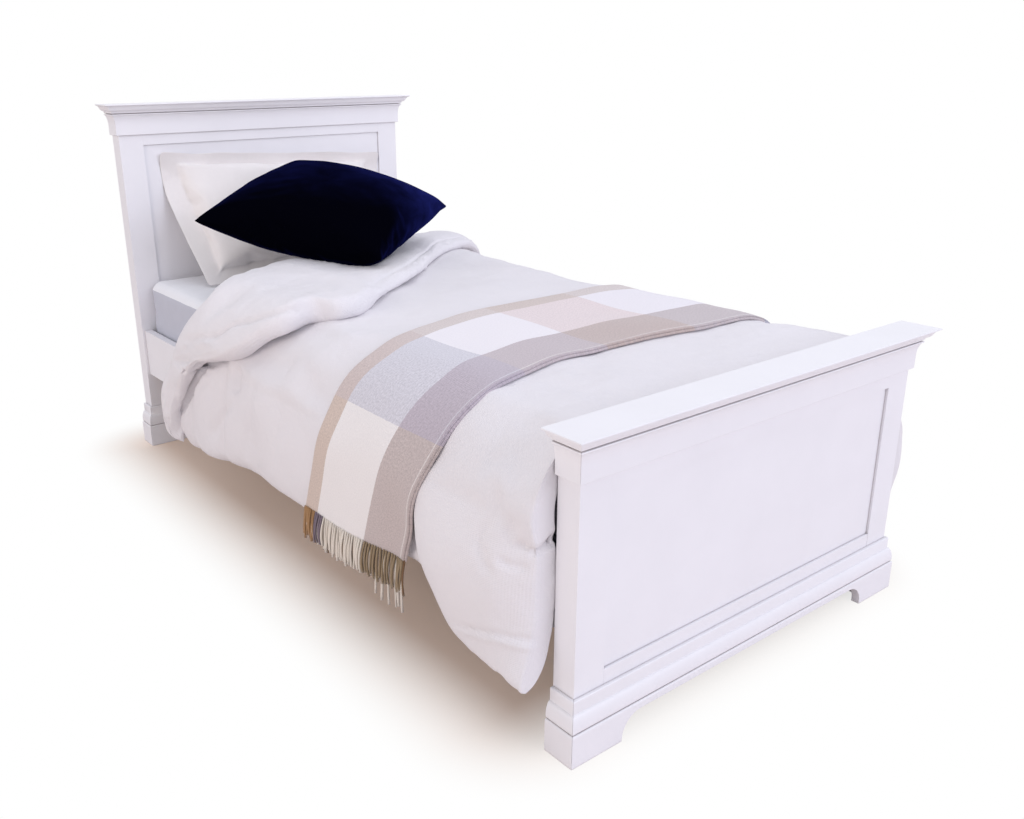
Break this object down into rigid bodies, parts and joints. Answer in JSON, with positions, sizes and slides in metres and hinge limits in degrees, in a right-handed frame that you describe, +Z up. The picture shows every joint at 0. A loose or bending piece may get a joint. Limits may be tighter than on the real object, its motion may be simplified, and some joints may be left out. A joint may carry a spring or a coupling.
{
  "type": "single bed",
  "caption": "White panelled single bed with moulded head and foot boards, slatted base, mattress, turned-back duvet, pillow, velvet cushion and a checked, fringed throw.",
  "frame": {"origin": "on the floor under the middle of the bed's outline", "axes": "+Z up, +Y from the footboard to the headboard, +X across the bed to the side away from the camera"},
  "size_m": [1.2192, 2.054, 1.058],
  "materials": {
    "painted_wood": "satin off-white paint on solid wood",
    "pine": "planed bare softwood",
    "beech": "bare beech dowel",
    "steel": "pressed steel, zinc plated",
    "zinc": "bright zinc plating",
    "webbing": "woven cotton tape",
    "ticking": "mattress ticking",
    "sheet_cotton": "white cotton jersey",
    "bed_linen": "warm cream washed cotton",
    "velvet": "midnight blue velvet",
    "wool_throw": "brushed wool in large checks",
    "wool_fringe": "twisted wool yarn"
  },
  "bodies": {
    "root": {"foot_post_left": "painted_wood", "foot_post_right": "painted_wood", "foot_top_rail": "painted_wood", "foot_bottom_rail": "painted_wood", "foot_panel": "painted_wood", "foot_cap": "painted_wood", "foot_cornice": "painted_wood", "foot_plinth_mould": "painted_wood", "foot_base": "painted_wood", "head_post_left": "painted_wood", "head_post_right": "painted_wood", "head_top_rail": "painted_wood", "head_bottom_rail": "painted_wood", "head_panel": "painted_wood", "head_cap": "painted_wood", "head_cornice": "painted_wood", "head_plinth_mould": "painted_wood", "head_base": "painted_wood", "side_rail_left": "painted_wood", "side_rail_right": "painted_wood", "slat_ledger_left": "pine", "slat_ledger_right": "pine", "slat_01": "pine", "slat_02": "pine", "slat_03": "pine", "slat_04": "pine", "slat_05": "pine", "slat_06": "pine", "slat_07": "pine", "slat_08": "pine", "slat_09": "pine", "slat_10": "pine", "slat_11": "pine", "slat_12": "pine", "slat_13": "pine", "slat_14": "pine", "cap_dowels": "beech", "rail_hook_plates": "steel", "post_keeper_plates": "steel", "plate_screws": "zinc", "ledger_screws": "zinc", "slat_screws": "zinc", "slat_webbing": "webbing", "mattress": "ticking", "fitted_sheet": "sheet_cotton", "duvet": "bed_linen", "pillow": "bed_linen", "velvet_cushion": "velvet", "throw": "wool_throw", "throw_fringe": "wool_fringe"}
  },
  "joints": []
}
